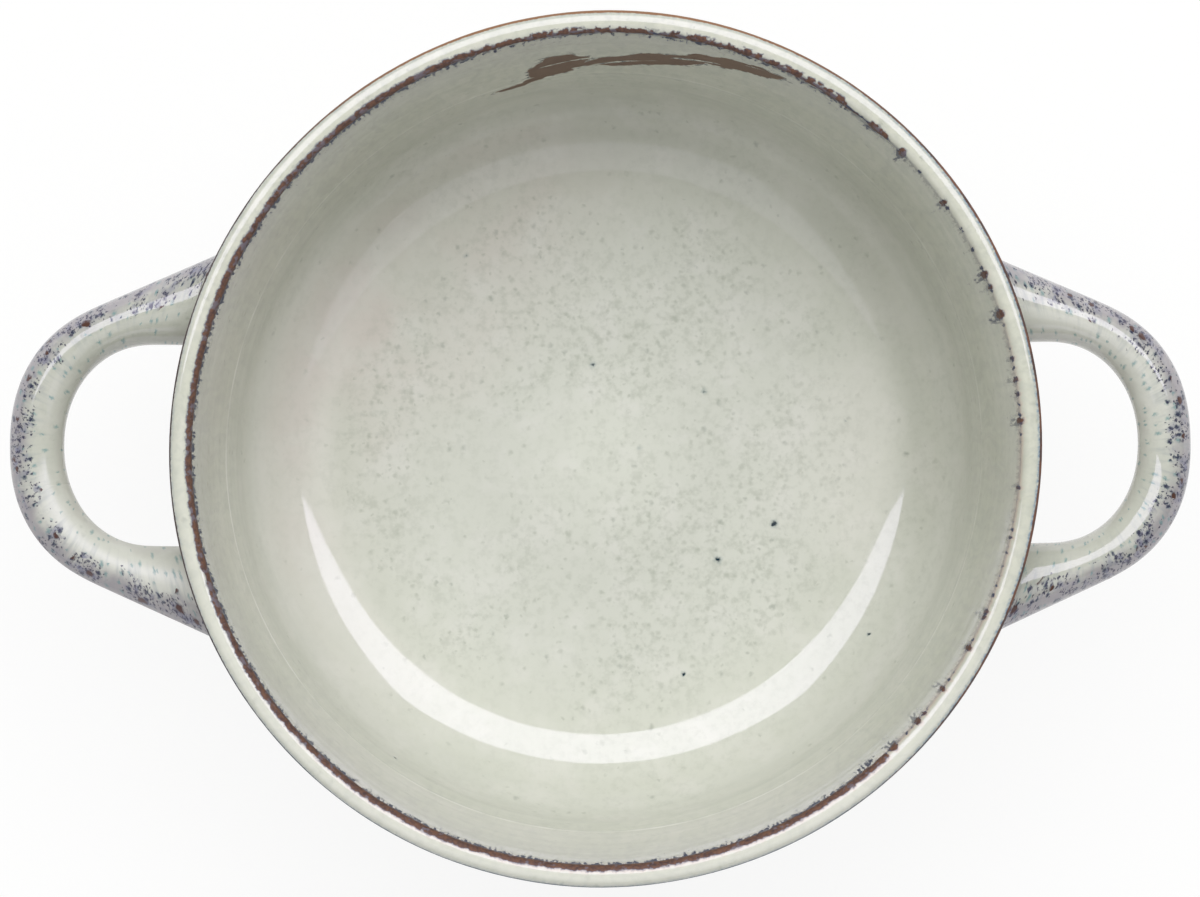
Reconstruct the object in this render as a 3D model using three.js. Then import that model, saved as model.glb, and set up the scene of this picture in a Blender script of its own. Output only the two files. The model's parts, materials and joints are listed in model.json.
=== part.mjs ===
// Two-handled stoneware soup bowl: a jiggered body with a turned foot ring, and two pressed loop handles
// luted to its wall with clay slip. Millimetres, +Z up, origin under the middle of the foot, +X to one handle.
import * as THREE from "three";

// Body
const rimRadius = 75; // outer edge of the lip
const bowlHeight = 65;
const lipWidth = 3.8;
const lipCrown = 1.4; // rise of the lip above its two edges
const lipSquareness = 2.2; // 2 is a round lip, higher is a flatter one
const wallThickness = 4.2; // where the wall leaves the corner; it thins up to the lip
const wallLean = 8; // degrees the inner wall leans out from upright
const cornerRadius = 16.5; // inside, between floor and wall
const baseThickness = 5.5; // floor, inside the foot ring
const footInset = 3; // foot ring in from the edge of the flat floor
const footWidth = 5;
const footRecess = 3.5; // hollow under the base
const footEdge = 0.8; // rounding of the ring's two bottom edges
const footFillet = 1.5; // where the ring grows out of the base

// Handles
const handleDrop = 16; // middle of the loop below the lip
const fingerDepth = 18.4; // clear opening from the lip's edge to the loop
const fingerWidth = 35;
const bendLength = 15.3; // from the tip of the loop to where its arms run straight
const barWidth = 9.2; // loop at its tip, in plan
const barDepth = 9.8; // loop at its tip, upright
const rootDepth = 14; // arms at the wall, upright
const armFlare = 23.9; // degrees by which the arms widen on their outer side
const innerSquareness = 2.1; // of the bend's inner and outer edges, in plan
const outerSquareness = 2.5;
const barSquareness = 2.2; // of the loop's section

// Luted joints
const slipFilm = 0.6; // slip between a handle's end and the wall
const slipFillet = 3; // slip squeezed out round the root
const slipEdge = 0.3; // thickness at which the fillet fades out
const seatGap = 0.3; // between neighbouring pieces

// Mesh steps
const turnSteps = 72; // round the body
const arcSteps = 7; // round a large corner of the profile
const edgeSteps = 3; // round a small one
const lipSteps = 8;
const barSides = 20; // round the loop's section
const armSteps = 16; // from the loop's tip to one root
const filletSteps = 3;

const radians = THREE.MathUtils.degToRad;

// Cosine and sine of a superellipse of the given squareness
function roundedCos(angle, squareness) {
  const c = Math.cos(angle);
  return Math.sign(c) * Math.abs(c) ** (2 / squareness);
}

function roundedSin(angle, squareness) {
  return roundedCos(angle - Math.PI / 2, squareness);
}

// The place between low and high where a rising function passes zero
function zeroOf(rising, low, high) {
  for (let i = 0; i < 40; i++) {
    const middle = (low + high) / 2;
    if (rising(middle) > 0) high = middle;
    else low = middle;
  }
  return (low + high) / 2;
}

// Profile of the body, as radius and height. The inner corner touches the floor and the leaning inner wall,
// the outer corner keeps the wall's thickness from it, and the outer wall runs from there to the lip.
const lean = radians(wallLean);
const lipBase = bowlHeight - lipCrown;
const floorHeight = footRecess + baseThickness;
const cornerHeight = floorHeight + cornerRadius;
const innerRim = rimRadius - lipWidth;
const floorRadius =
  innerRim - (cornerRadius + (lipBase - cornerHeight) * Math.sin(lean)) / Math.cos(lean);
const outerCorner = cornerRadius + wallThickness;
const undersideHeight = floorHeight - wallThickness;
const lipFromCorner = new THREE.Vector2(rimRadius - floorRadius, lipBase - cornerHeight);
const outerLean = Math.acos(outerCorner / lipFromCorner.length()) - lipFromCorner.angle();
const footRadius = floorRadius - footInset;
const footInner = footRadius - footWidth;

// Radius of the body's outer wall at a height
function wallRadius(height) {
  const wallFoot = cornerHeight - outerCorner * Math.sin(outerLean);
  if (height < wallFoot) {
    return floorRadius + Math.sqrt(outerCorner ** 2 - (cornerHeight - height) ** 2);
  }
  return rimRadius - (lipBase - height) * Math.tan(outerLean);
}

function addArc(profile, radius, height, size, from, to, steps) {
  for (let i = 0; i <= steps; i++) {
    const angle = from + ((to - from) * i) / steps;
    profile.push(new THREE.Vector2(radius + size * Math.cos(angle), height + size * Math.sin(angle)));
  }
}

function bodyGeometry() {
  const quarter = Math.PI / 2;
  const profile = [new THREE.Vector2(0, footRecess)];
  addArc(profile, footInner - footFillet, footRecess - footFillet, footFillet, quarter, 0, edgeSteps);
  addArc(profile, footInner + footEdge, footEdge, footEdge, -2 * quarter, -quarter, edgeSteps);
  addArc(profile, footRadius - footEdge, footEdge, footEdge, -quarter, 0, edgeSteps);
  addArc(profile, footRadius + footFillet, undersideHeight - footFillet, footFillet,
    2 * quarter, quarter, edgeSteps);
  addArc(profile, floorRadius, cornerHeight, outerCorner, -quarter, -outerLean, arcSteps);
  for (let i = 0; i <= lipSteps; i++) {
    const angle = (Math.PI * i) / lipSteps;
    profile.push(new THREE.Vector2(
      rimRadius + (lipWidth / 2) * (roundedCos(angle, lipSquareness) - 1),
      lipBase + lipCrown * roundedSin(angle, lipSquareness),
    ));
  }
  addArc(profile, floorRadius, cornerHeight, cornerRadius, -lean, -quarter, arcSteps);
  profile.push(new THREE.Vector2(0, floorHeight));
  return new THREE.LatheGeometry(profile, turnSteps).rotateX(Math.PI / 2);
}

// One edge of the loop in plan, from its tip, round the bend and along the arm into the wall
class LoopEdge extends THREE.Curve {
  constructor(tip, flare, squareness) {
    super();
    this.tip = tip;
    this.slope = Math.tan(radians(flare));
    this.squareness = squareness;
    const intoWall = wallRadius(handleHeight) - wallThickness;
    this.armEnd = zeroOf((x) => Math.hypot(x, this.armY(x)) - intoWall, 0, tip - bendLength);
  }

  armY(x) {
    return fingerWidth / 2 + this.slope * (this.tip - x);
  }

  getPoint(t, target = new THREE.Vector2()) {
    const angle = Math.min(2 * t, 1) * (Math.PI / 2);
    const along = Math.max(2 * t - 1, 0);
    const bendX = this.tip - bendLength * (1 - roundedCos(angle, this.squareness));
    const x = THREE.MathUtils.lerp(bendX, this.armEnd, along);
    const narrowing = (fingerWidth / 2) * (1 - roundedSin(angle, this.squareness));
    return target.set(x, this.armY(x) - narrowing);
  }
}

const handleHeight = bowlHeight - handleDrop;
const fingerTip = rimRadius + fingerDepth;
const innerEdge = new LoopEdge(fingerTip, 0, innerSquareness);
const outerEdge = new LoopEdge(fingerTip + barWidth, armFlare, outerSquareness);

// A point on the loop's skin: u runs from the tip to inside the wall, angle goes round the section
function loopPoint(u, angle) {
  const inner = innerEdge.getPointAt(u);
  const outer = outerEdge.getPointAt(u);
  const plan = inner.lerp(outer, (1 + roundedCos(angle, barSquareness)) / 2);
  const depth = THREE.MathUtils.lerp(barDepth, rootDepth, THREE.MathUtils.smoothstep(u, 0, 1));
  return new THREE.Vector3(plan.x, plan.y, handleHeight + (depth / 2) * roundedSin(angle, barSquareness));
}

// Clearance between a point outside the bowl and the outer wall
function wallClearance(point) {
  return (Math.hypot(point.x, point.y) - wallRadius(point.z)) * Math.cos(outerLean);
}

// The point's nearest place level with it that has the given clearance to the wall
function besideWall(point, clearance) {
  const radius = wallRadius(point.z) + clearance / Math.cos(outerLean);
  const scale = radius / Math.hypot(point.x, point.y);
  return new THREE.Vector3(point.x * scale, point.y * scale, point.z);
}

// How far along u the skin has come down to the given clearance
function reach(angle, clearance) {
  return zeroOf((u) => clearance - wallClearance(loopPoint(u, angle)), 0, 1);
}

function sectionAngles() {
  return Array.from({ length: barSides }, (_, i) => (2 * Math.PI * i) / barSides);
}

function middleOf(ring) {
  const sum = ring.reduce((total, point) => total.add(point), new THREE.Vector3());
  return sum.divideScalar(ring.length);
}

function mirrored(ring) {
  return ring.map((point) => new THREE.Vector3(point.x, -point.y, point.z));
}

// A closed skin over successive rings, which may begin and end with a ring of one point
function skin(rings) {
  const positions = [];
  const triangles = [];
  let first = 0;
  rings.forEach((ring, i) => {
    ring.forEach((point) => positions.push(point.x, point.y, point.z));
    const next = rings[i + 1] ?? [];
    const afterRing = first + ring.length;
    for (let j = 0; next.length && j < barSides; j++) {
      const k = (j + 1) % barSides;
      const [a, b] = [j, k].map((n) => first + (n % ring.length));
      const [c, d] = [j, k].map((n) => afterRing + (n % next.length));
      if (ring.length > 1) triangles.push(a, c, b);
      if (next.length > 1) triangles.push(b, c, d);
    }
    first = afterRing;
  });
  const geometry = new THREE.BufferGeometry();
  geometry.setAttribute("position", new THREE.Float32BufferAttribute(positions, 3));
  geometry.setIndex(triangles);
  geometry.computeVertexNormals();
  return geometry;
}

// The loop, lofted from root to root, each end cut to the curve of the wall
function handleGeometry() {
  const endClearance = slipFilm + 2 * seatGap;
  const ends = sectionAngles().map((angle) => reach(angle, endClearance));
  const arm = [];
  for (let i = 0; i <= armSteps; i++) {
    arm.push(sectionAngles().map((angle, j) => loopPoint((ends[j] * i) / armSteps, angle)));
  }
  arm.push([besideWall(middleOf(arm[armSteps]), endClearance)]);
  return skin([...arm.slice(1).reverse().map(mirrored), ...arm]);
}

// The slip of one joint: a film against the wall, and a hollow fillet from the wall out on to the root
function slipGeometry(side) {
  const faceClearance = seatGap + slipFilm;
  const roots = sectionAngles().map((angle) => {
    const start = loopPoint(reach(angle, seatGap), angle);
    const film = loopPoint(reach(angle, faceClearance), angle);
    const tip = loopPoint(reach(angle, slipFillet), angle);
    return { start, film, tip };
  });
  const middle = middleOf(roots.map((root) => root.start));
  const outward = roots.map(({ start }) => start.clone().sub(middle).normalize());
  const shifted = (point, i, distance) => point.clone().addScaledVector(outward[i], distance);
  const onWall = (clearance, spread) =>
    roots.map(({ start }, i) => besideWall(shifted(start, i, spread), clearance));
  const onRoot = (name, distance) => roots.map((root, i) => shifted(root[name], i, distance));

  const fadeOnWall = onWall(seatGap + slipEdge, slipFillet);
  const inCorner = onWall(seatGap + slipEdge, seatGap + slipEdge);
  const fadeOnRoot = onRoot("tip", seatGap + slipEdge);
  const fillet = [];
  for (let i = 0; i <= filletSteps; i++) {
    const bend = fadeOnWall.map((foot, j) =>
      new THREE.QuadraticBezierCurve3(foot, inCorner[j], fadeOnRoot[j]).getPoint(i / filletSteps));
    fillet.push(bend);
  }
  const rings = [
    [besideWall(middle, seatGap)],
    onWall(seatGap, 0),
    onWall(seatGap, slipFillet),
    ...fillet,
    onRoot("tip", seatGap),
    onRoot("film", seatGap),
    [besideWall(middle, faceClearance)],
  ];
  return skin(side > 0 ? rings.reverse() : rings.map(mirrored));
}

function piece(name, geometry, color, roughness) {
  const mesh = new THREE.Mesh(
    geometry,
    new THREE.MeshStandardMaterial({ color, roughness, metalness: 0 }),
  );
  mesh.name = name;
  return mesh;
}

const glazeColor = "#cfd1c6";
const breakColor = "#bdbcb9"; // where the glaze runs thin on the joints
const glazeRoughness = 0.15;

// A handle and its two joints, turned about the bowl's axis
function handleGroup(name, plusYEnd, minusYEnd, turn) {
  const group = new THREE.Group();
  group.add(piece(`handle_${name}`, handleGeometry(), glazeColor, glazeRoughness));
  group.add(piece(`slip_${name}_${plusYEnd}`, slipGeometry(1), breakColor, glazeRoughness));
  group.add(piece(`slip_${name}_${minusYEnd}`, slipGeometry(-1), breakColor, glazeRoughness));
  group.rotation.z = turn;
  return group;
}

const bowl = new THREE.Group();
bowl.add(piece("bowl_body", bodyGeometry(), glazeColor, glazeRoughness));
bowl.add(handleGroup("right", "back", "front", 0));
bowl.add(handleGroup("left", "front", "back", Math.PI));

export default bowl;
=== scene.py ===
import json
import math
from functools import partial

import bmesh
import bpy
from mathutils import Matrix, Vector

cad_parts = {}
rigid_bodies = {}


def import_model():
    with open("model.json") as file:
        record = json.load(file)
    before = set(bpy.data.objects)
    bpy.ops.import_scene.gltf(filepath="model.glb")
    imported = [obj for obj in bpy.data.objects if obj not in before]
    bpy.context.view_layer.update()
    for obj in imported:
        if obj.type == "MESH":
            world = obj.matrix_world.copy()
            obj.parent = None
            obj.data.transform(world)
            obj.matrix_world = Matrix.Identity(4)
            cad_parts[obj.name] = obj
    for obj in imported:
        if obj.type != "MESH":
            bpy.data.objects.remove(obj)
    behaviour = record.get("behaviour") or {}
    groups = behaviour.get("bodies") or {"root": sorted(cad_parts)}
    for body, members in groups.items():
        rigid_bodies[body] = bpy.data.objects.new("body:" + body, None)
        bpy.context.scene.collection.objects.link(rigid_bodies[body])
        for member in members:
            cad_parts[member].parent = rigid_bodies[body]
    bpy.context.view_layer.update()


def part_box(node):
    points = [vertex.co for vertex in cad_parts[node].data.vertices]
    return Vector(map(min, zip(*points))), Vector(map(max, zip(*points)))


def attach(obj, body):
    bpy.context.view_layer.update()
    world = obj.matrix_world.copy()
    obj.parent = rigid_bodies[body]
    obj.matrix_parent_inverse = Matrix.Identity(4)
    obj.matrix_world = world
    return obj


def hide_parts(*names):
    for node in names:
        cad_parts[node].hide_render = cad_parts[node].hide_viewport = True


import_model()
bpy.ops.object.select_all(action="DESELECT")
mm = 0.001


def hexColour(text):  # sRGB hex to linear
    parts = [int(text[i:i + 2], 16) / 255 for i in (1, 3, 5)]
    return (*[p / 12.92 if p <= 0.04045 else ((p + 0.055) / 1.055) ** 2.4 for p in parts], 1.0)


def addNode(tree, kind, values=(), operation=None, **settings):
    node = tree.nodes.new("ShaderNode" + kind)
    if operation:
        node.operation = operation
    for name, value in settings.items():
        setattr(node, name, value)
    pairs = values.items() if isinstance(values, dict) else enumerate(values)
    for socket, value in pairs:
        if isinstance(value, bpy.types.Node):
            value = value.outputs[0]
        if isinstance(value, bpy.types.NodeSocket):
            tree.links.new(value, node.inputs[socket])
        else:
            node.inputs[socket].default_value = hexColour(value) if isinstance(value, str) else value
    return node


smooth = {"interpolation_type": "SMOOTHSTEP"}

# Camera, over the bowl and a little to its front
photo = {
    "width": 1200,  # pixels
    "pixelsAcrossRim": 876.8,
    "rimAcross": 150 * mm,
    "above": 900 * mm,  # from the lip up to the lens
    "stand": (-9.4 * mm, -19 * mm),  # in plan, from the bowl's axis
    "aim": (-1.05 * mm, -0.1 * mm),
    "sensor": 36.0,
}
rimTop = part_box("bowl_body")[1].z
spanAtRim = photo["width"] / photo["pixelsAcrossRim"] * photo["rimAcross"]
lens = Vector((*photo["stand"], rimTop + photo["above"]))
aim = Vector((*photo["aim"], rimTop))
back = (lens - aim).normalized()
right = Vector((0, 1, 0)).cross(back).normalized()
lensTurn = Matrix((right, back.cross(right), back)).transposed().to_euler()
bpy.ops.object.camera_add(location=lens, rotation=lensTurn)
camera = bpy.context.object
camera.name = "camera"
camera.data.sensor_width = photo["sensor"]
camera.data.lens = photo["sensor"] * photo["above"] / spanAtRim
bpy.context.scene.camera = camera
print("camera ready")

# Floor, lamps and world
studio = {
    "floor": 12.0,  # metres across
    "underFoot": 0.05 * mm,
    "floorColour": "#f2f2f0",
    "floorGlow": 0.88,  # share of the floor that the lens sees as plain white
    "room": 0.22,  # level of the white room
    # lamps: place, width, depth, tilt up from facing the floor, watts
    "lamps": {
        "softBox": ((0, 1.13, 2.0), 3.2, 1.74, 0.0, 66.6),
        "frontPanel": ((0.4, -1.3, 2.0), 3.2, 1.8, 0.0, 10.2),
        "lowPanel": ((0, -2.2, 0.55), 3.2, 0.6, math.radians(80), 5.0),
    },
}


def studioFloor(s):
    bpy.ops.mesh.primitive_plane_add(size=s["floor"], location=(0, 0, -s["underFoot"]))
    floor = bpy.context.object
    floor.name = "floor"
    material = bpy.data.materials.new("paintedBoard")  # matt, seen as white but for the shadow on it
    material.use_nodes = True
    material.node_tree.nodes.clear()
    add = partial(addNode, material.node_tree)
    rays = add("LightPath").outputs
    seen = rays["Is Camera Ray"]
    for kind in ("Is Glossy Ray", "Is Transmission Ray"):
        seen = add("Math", [seen, rays[kind]], "MAXIMUM")
    share = add("Math", [seen, s["floorGlow"]], "MULTIPLY")
    board = add("BsdfDiffuse", {"Color": s["floorColour"]})
    white = add("Emission", {"Color": "#ffffff", "Strength": 1.0})
    mixed = add("MixShader", [share, board, white])
    add("OutputMaterial", [mixed])
    floor.data.materials.append(material)


def studioLight(s):
    for name, (place, width, depth, tilt, watts) in s["lamps"].items():
        bpy.ops.object.light_add(type="AREA", location=place, rotation=(tilt, 0, 0))
        lamp = bpy.context.object
        lamp.name = name
        lamp.data.shape = "RECTANGLE"
        lamp.data.size = width
        lamp.data.size_y = depth
        lamp.data.energy = watts
        lamp.visible_camera = False
    world = bpy.data.worlds.new("whiteRoom")
    world.use_nodes = True
    bpy.context.scene.world = world
    world.node_tree.nodes.clear()
    add = partial(addNode, world.node_tree)
    level = add("MapRange", [add("LightPath").outputs["Is Camera Ray"], 0, 1, s["room"], 1])
    add("OutputWorld", [add("Background", {"Color": "#ffffff", "Strength": level})])


studioFloor(studio)
studioLight(studio)
bpy.context.scene.view_settings.view_transform = "Standard"
print("studio ready")

# Bowl body: its profile, drawn point by point and spun
bowl = {
    "lip": 3.8 * mm,
    "crown": 1.4 * mm,  # rise of the lip over its two edges
    "lipSquareness": 2.2,
    "innerBreak": math.radians(22),  # places on the lip's round where the glaze runs off it
    "outerBreak": math.radians(10),
    "wall": 4.2 * mm,
    "lean": math.radians(8),
    "corner": 16.5 * mm,
    "base": 5.5 * mm,
    "recess": 3.5 * mm,
    "footInset": 3 * mm,
    "footWidth": 5 * mm,
    "footEdge": 0.8 * mm,
    "footFillet": 1.5 * mm,
    "ridgeDrop": 31 * mm,  # a throwing ridge, below the lip
    "ridgeRise": 0.06 * mm,
    "ridgeWidth": 0.5 * mm,
    "throwRings": ((3.1 * mm, 0.005 * mm), (5.3 * mm, 0.008 * mm)),  # spacing and height
    "step": 0.9 * mm,
    "floorStep": 2.5 * mm,
    "arcSteps": 14,
    "edgeSteps": 4,
    "lipSteps": 28,
    "turns": 200,
    "oval": 0.0062,
    "ovalTurn": math.radians(57),
    "unevenness": 0.15 * mm,
    "unevenScale": 30 * mm,
    "weld": 0.002 * mm,
}


def roundedCos(angle, squareness):
    c = math.cos(angle)
    return math.copysign(abs(c) ** (2 / squareness), c)


def bowlProfile(b):
    quarter = math.pi / 2
    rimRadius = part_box("bowl_body")[1].x
    lipBase = rimTop - b["crown"]
    floorHeight = b["recess"] + b["base"]
    cornerHeight = floorHeight + b["corner"]
    innerRim = rimRadius - b["lip"]
    cornerOut = (b["corner"] + (lipBase - cornerHeight) * math.sin(b["lean"])) / math.cos(b["lean"])
    floorRadius = innerRim - cornerOut
    outerCorner = b["corner"] + b["wall"]
    underside = floorHeight - b["wall"]
    toLip = Vector((rimRadius - floorRadius, lipBase - cornerHeight))
    outerLean = math.acos(outerCorner / toLip.length) - math.atan2(toLip.y, toLip.x)
    footRadius = floorRadius - b["footInset"]
    footInner = footRadius - b["footWidth"]
    ridgeHeight = rimTop - b["ridgeDrop"]
    points = [Vector((0, floorHeight))]
    at = {}

    def lineTo(radius, height, step):
        start = points[-1].copy()
        end = Vector((radius, height))
        count = max(1, round((end - start).length / step))
        points.extend(start.lerp(end, i / count) for i in range(1, count + 1))

    def arc(radius, height, size, first, last, steps):
        for i in range(steps + 1):
            angle = first + (last - first) * i / steps
            points.append(Vector((radius + size * math.cos(angle), height + size * math.sin(angle))))

    def mark(name):
        at[name] = len(points) - 1

    lineTo(floorRadius, floorHeight, b["floorStep"])
    mark("corner")
    arc(floorRadius, cornerHeight, b["corner"], -quarter, -b["lean"], b["arcSteps"])
    mark("wall")
    wallFoot = points[-1].copy()
    innerTop = Vector((innerRim, lipBase))
    for share in (-2, -1, -0.5, 0, 0.5, 1, 2):  # points close together over the ridge
        height = ridgeHeight + share * b["ridgeWidth"]
        foot = wallFoot.lerp(innerTop, (height - wallFoot.y) / (innerTop.y - wallFoot.y))
        lineTo(foot.x, foot.y, b["step"])
        if share == 0:
            mark("ridge")
    lineTo(innerTop.x, innerTop.y, b["step"])
    mark("innerTop")
    for i in range(1, b["lipSteps"]):
        angle = math.pi * (1 - i / b["lipSteps"])
        across = roundedCos(angle, b["lipSquareness"])
        rise = roundedCos(angle - quarter, b["lipSquareness"])
        points.append(Vector((rimRadius + b["lip"] / 2 * (across - 1), lipBase + b["crown"] * rise)))
        if angle > math.pi - b["innerBreak"]:
            mark("innerBreak")
        if angle > quarter:
            mark("crest")
        if angle > b["outerBreak"]:
            mark("outerBreak")
    points.append(Vector((rimRadius, lipBase)))
    mark("outerTop")
    wallEndRadius = floorRadius + outerCorner * math.cos(outerLean)
    wallEndHeight = cornerHeight - outerCorner * math.sin(outerLean)
    lineTo(wallEndRadius, wallEndHeight, b["step"])
    mark("outerCorner")
    arc(floorRadius, cornerHeight, outerCorner, -outerLean, -quarter, b["arcSteps"])
    mark("under")
    fillet, edge, steps = [b[key] for key in ("footFillet", "footEdge", "edgeSteps")]
    lineTo(footRadius + fillet, underside, b["floorStep"])
    arc(footRadius + fillet, underside - fillet, fillet, quarter, 2 * quarter, steps)
    mark("footSide")
    arc(footRadius - edge, edge, edge, 0, -quarter, steps)
    mark("footFace")
    arc(footInner + edge, edge, edge, -quarter, -2 * quarter, steps)
    mark("footInside")
    arc(footInner - fillet, b["recess"] - fillet, fillet, 0, quarter, steps)
    mark("recess")
    lineTo(0, b["recess"], b["floorStep"])

    kept = [points[0]]
    keptIndex = [0]
    for point in points[1:]:  # arcs begin where lines end
        if (point - kept[-1]).length > 1e-7:
            kept.append(point)
        keptIndex.append(len(kept) - 1)
    runs = [0.0]
    for first, second in zip(kept, kept[1:]):
        runs.append(runs[-1] + (second - first).length)
    marks = {name: runs[keptIndex[index]] for name, index in at.items()}
    marks.update(start=0.0, end=runs[-1])
    for i, point in enumerate(kept):  # ridge and throwing rings on the inner wall
        if marks["wall"] < runs[i] < marks["innerTop"]:
            away = (runs[i] - marks["ridge"]) / b["ridgeWidth"]
            point.x -= b["ridgeRise"] * math.exp(-away * away)
            point.x -= sum(h * math.sin(math.tau * runs[i] / gap) for gap, h in b["throwRings"])
    wall = {"radius": rimRadius, "top": lipBase, "lean": outerLean}
    return kept, runs, marks, wall


def applyModifier(piece, kind, **settings):
    modifier = piece.modifiers.new(kind.lower(), kind)
    for name, value in settings.items():
        setattr(modifier, name, value)
    bpy.ops.object.modifier_apply(modifier=modifier.name)


def startPiece(name):  # a few points to draw from, in edit mode
    bpy.ops.object.select_all(action="DESELECT")
    bpy.ops.mesh.primitive_circle_add(vertices=3, radius=mm)
    piece = bpy.context.object
    piece.name = name
    bpy.ops.object.mode_set(mode="EDIT")
    return piece


def makeBowl(b):
    points, runs, marks, wall = bowlProfile(b)
    piece = startPiece("bowlBody")
    bpy.ops.mesh.select_all(action="SELECT")
    bpy.ops.mesh.merge(type="CENTER")
    bpy.ops.transform.translate(value=(0, 0, points[0].y))
    for first, second in zip(points, points[1:]):
        step = (second.x - first.x, 0, second.y - first.y)
        bpy.ops.mesh.extrude_region_move(TRANSFORM_OT_translate={"value": step})
    bpy.ops.object.mode_set(mode="OBJECT")
    run = piece.data.attributes.new("run", "FLOAT", "POINT")  # metres along the profile, for the glaze
    run.data.foreach_set("value", runs)
    bpy.ops.object.mode_set(mode="EDIT")
    bpy.ops.mesh.select_all(action="SELECT")
    bpy.ops.mesh.spin(steps=b["turns"], angle=math.tau, center=(0, 0, 0), axis=(0, 0, 1))
    bpy.ops.mesh.select_all(action="SELECT")
    bpy.ops.mesh.remove_doubles(threshold=b["weld"])
    bpy.ops.mesh.normals_make_consistent(inside=False)
    origin = {"orient_axis": "Z", "center_override": (0, 0, 0)}
    bpy.ops.transform.rotate(value=b["ovalTurn"], **origin)
    bpy.ops.transform.resize(value=(1 + b["oval"], 1 - b["oval"], 1), center_override=(0, 0, 0))
    bpy.ops.transform.rotate(value=-b["ovalTurn"], **origin)
    bpy.ops.object.mode_set(mode="OBJECT")
    clouds = bpy.data.textures.new("handTurned", "CLOUDS")
    clouds.noise_scale = b["unevenScale"]
    applyModifier(
        piece, "DISPLACE", texture=clouds, texture_coords="LOCAL", strength=b["unevenness"], mid_level=0.5)
    bpy.ops.object.shade_smooth()
    return piece, marks, wall


bowlPiece, bowlMarks, outerWall = makeBowl(bowl)
print("bowl body:", len(bowlPiece.data.polygons), "faces")

# Loop handles, lofted from rings, and the slip joints round their roots
handle = {
    "drop": 16 * mm,  # middle of the loop below the lip
    "fingerDepth": 18.4 * mm,
    "fingerWidth": 35 * mm,
    "bend": 15.3 * mm,
    "barWidth": 9.2 * mm,
    "barDepth": 9.8 * mm,
    "rootDepth": 14 * mm,
    "flare": math.radians(23.9),
    "innerSquareness": 2.1,
    "outerSquareness": 2.5,
    "sides": 20,
    "spacing": 2.6 * mm,  # between rings
    "sunk": 1.3 * mm,  # root inside the wall
    "fillet": 3.2 * mm,
    "filletRings": 6,
    "cover": 0.03 * mm,  # slip over the bar where the fillet fades out
    "tucked": 0.5 * mm,  # and its inner edge, inside the bar
    "levels": 2,
}
# Each one as it was luted on by hand: its turn round the bowl, and what differs
handleSet = {
    "Right": (math.radians(1.0), {"fingerDepth": 17.9 * mm}, ("Back", "Front")),
    "Left": (math.radians(179.45), {"fingerDepth": 19.15 * mm, "barWidth": 9.45 * mm}, ("Front", "Back")),
}


def loopEdge(h, tip, slope, squareness, reachRadius):
    steps = 80
    half = h["fingerWidth"] / 2
    edge = []
    for i in range(steps + 1):
        angle = math.pi / 2 * i / steps
        x = tip - h["bend"] * (1 - roundedCos(angle, squareness))
        edge.append(Vector((x, half * roundedCos(angle - math.pi / 2, squareness) + slope * (tip - x))))
    x = edge[-1].x
    while edge[-1].length > reachRadius:
        x -= h["bend"] / steps
        edge.append(Vector((x, half + slope * (tip - x))))
    return edge


def alongEdge(edge, share):
    lengths = [0.0]
    for first, second in zip(edge, edge[1:]):
        lengths.append(lengths[-1] + (second - first).length)
    goal = share * lengths[-1]
    for i in range(1, len(edge)):
        if lengths[i] >= goal or i == len(edge) - 1:
            part = (goal - lengths[i - 1]) / (lengths[i] - lengths[i - 1])
            return edge[i - 1].lerp(edge[i], part)


def loopRing(h, edges, share, side):
    inner, outer = [alongEdge(edge, share) for edge in edges]
    inner = Vector((inner.x, inner.y * side, 0))
    outer = Vector((outer.x, outer.y * side, 0))
    across = (outer - inner).normalized()
    ease = share * share * (3 - 2 * share)
    depth = h["barDepth"] + (h["rootDepth"] - h["barDepth"]) * ease
    shrink = 2 / 3 + math.cos(math.tau / h["sides"]) / 3  # what subdividing takes off a ring
    return {
        "centre": (inner + outer) / 2 + Vector((0, 0, rimTop - h["drop"])),
        "across": across,
        "up": Vector((0, 0, 1)),
        "halfWidth": (outer - inner).length / 2 / shrink,
        "halfDepth": depth / 2 / shrink,
    }


def addRing(ring, sides):
    turn = Matrix((ring["across"], ring["up"], ring["across"].cross(ring["up"]))).transposed()
    bpy.ops.mesh.primitive_circle_add(
        vertices=sides, radius=ring["halfWidth"], location=ring["centre"], rotation=turn.to_euler())
    upright = ring["halfDepth"] / ring["halfWidth"]
    bpy.ops.transform.resize(value=(1, 1, upright), center_override=ring["centre"])


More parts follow.
